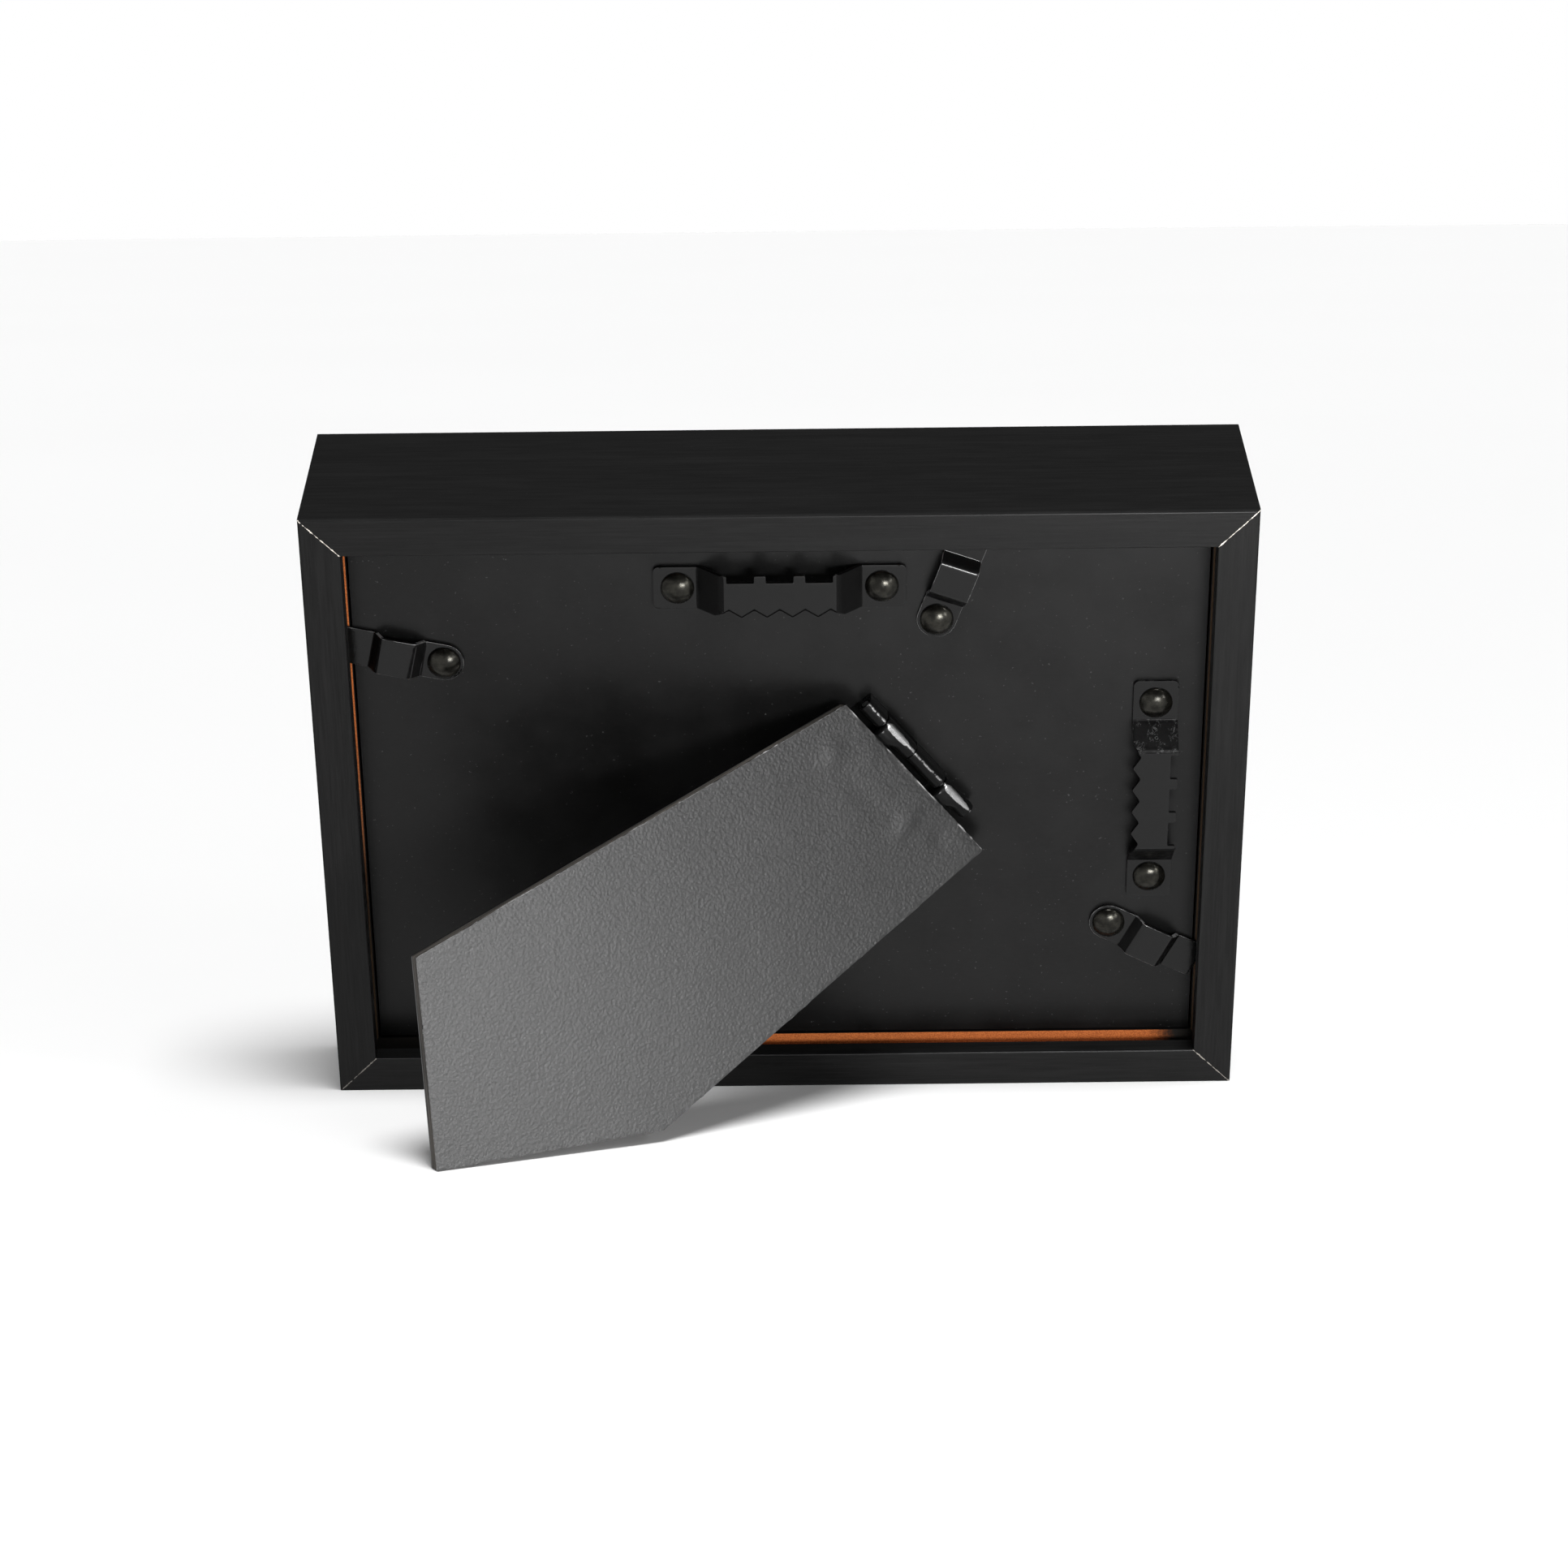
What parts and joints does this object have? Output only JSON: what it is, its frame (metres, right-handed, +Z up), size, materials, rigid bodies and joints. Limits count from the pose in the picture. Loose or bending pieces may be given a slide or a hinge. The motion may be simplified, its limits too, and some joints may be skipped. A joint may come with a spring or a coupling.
{
  "type": "photo frame",
  "caption": "Deep wooden box photo frame standing in landscape on a folding diagonal easel leg, with sawtooth hangers and turn buttons on its back.",
  "frame": {"origin": "on the floor, under the middle of the standing frame's bounding box", "axes": "+Z up, picture side towards -Y, easel leg towards +Y, +X to the right seen from the picture side"},
  "size_m": [0.171, 0.0996, 0.1264],
  "materials": {
    "black_rail": "satin black over fibreboard, fine grain",
    "black_spacer": "matt black",
    "clear_pane": "clear, glossy",
    "print_paper": "satin",
    "fibreboard": "raw fibreboard",
    "black_paper": "matt",
    "black_metal": "gloss black",
    "rivet_metal": "dark plated, polished",
    "pin_steel": "plain",
    "leatherette": "embossed leather grain, semi-matt",
    "leg_board": "dark board"
  },
  "bodies": {
    "frame": {"rail_top": "black_rail", "rail_left": "black_rail", "rail_bottom": "black_rail", "rail_right": "black_rail", "glazing_pane": "clear_pane", "spacer_top": "black_spacer", "spacer_bottom": "black_spacer", "spacer_left": "black_spacer", "spacer_right": "black_spacer", "photo_print": "print_paper", "backboard": "fibreboard", "backboard_facing": "black_paper", "hanger_landscape": "black_metal", "hanger_portrait": "black_metal", "hanger_rivets": "rivet_metal", "turn_button_rivets": "rivet_metal", "hinge_board_leaf": "black_metal", "hinge_pin": "pin_steel", "hinge_board_rivets": "pin_steel"},
    "easel_leg": {"leg_core": "leg_board", "leg_outer_paper": "leatherette", "leg_inner_paper": "black_paper", "hinge_leg_leaf": "black_metal", "hinge_leg_rivets": "pin_steel"},
    "turn_button_left": {"turn_button_left": "black_metal"},
    "turn_button_top": {"turn_button_top": "black_metal"},
    "turn_button_right": {"turn_button_right": "black_metal"},
    "turn_button_bottom": {"turn_button_bottom": "black_metal"}
  },
  "joints": [
    {"name": "leg_hinge", "type": "hinge", "parent": "frame", "child": "easel_leg", "pos_m": [-0.02485, 0.00483, 0.06626], "axis": [0.6361, 0.2685, 0.7234], "range_deg": [-31, 0]},
    {"name": "turn_button_left_pivot", "type": "hinge", "parent": "frame", "child": "turn_button_left", "pos_m": [0.0615, 0.00974, 0.08567], "axis": [0, 0.9375, -0.3479], "continuous": true},
    {"name": "turn_button_top_pivot", "type": "hinge", "parent": "frame", "child": "turn_button_top", "pos_m": [-0.0285, 0.01245, 0.09298], "axis": [0, 0.9375, -0.3479], "range_deg": [-160, 20]},
    {"name": "turn_button_right_pivot", "type": "hinge", "parent": "frame", "child": "turn_button_right", "pos_m": [-0.0617, -0.01006, 0.03232], "axis": [0, 0.9375, -0.3479], "range_deg": [-200, 30]},
    {"name": "turn_button_bottom_pivot", "type": "hinge", "parent": "frame", "child": "turn_button_bottom", "pos_m": [0.0285, -0.01267, 0.02529], "axis": [0, 0.9375, -0.3479], "range_deg": [-100, 90]}
  ]
}
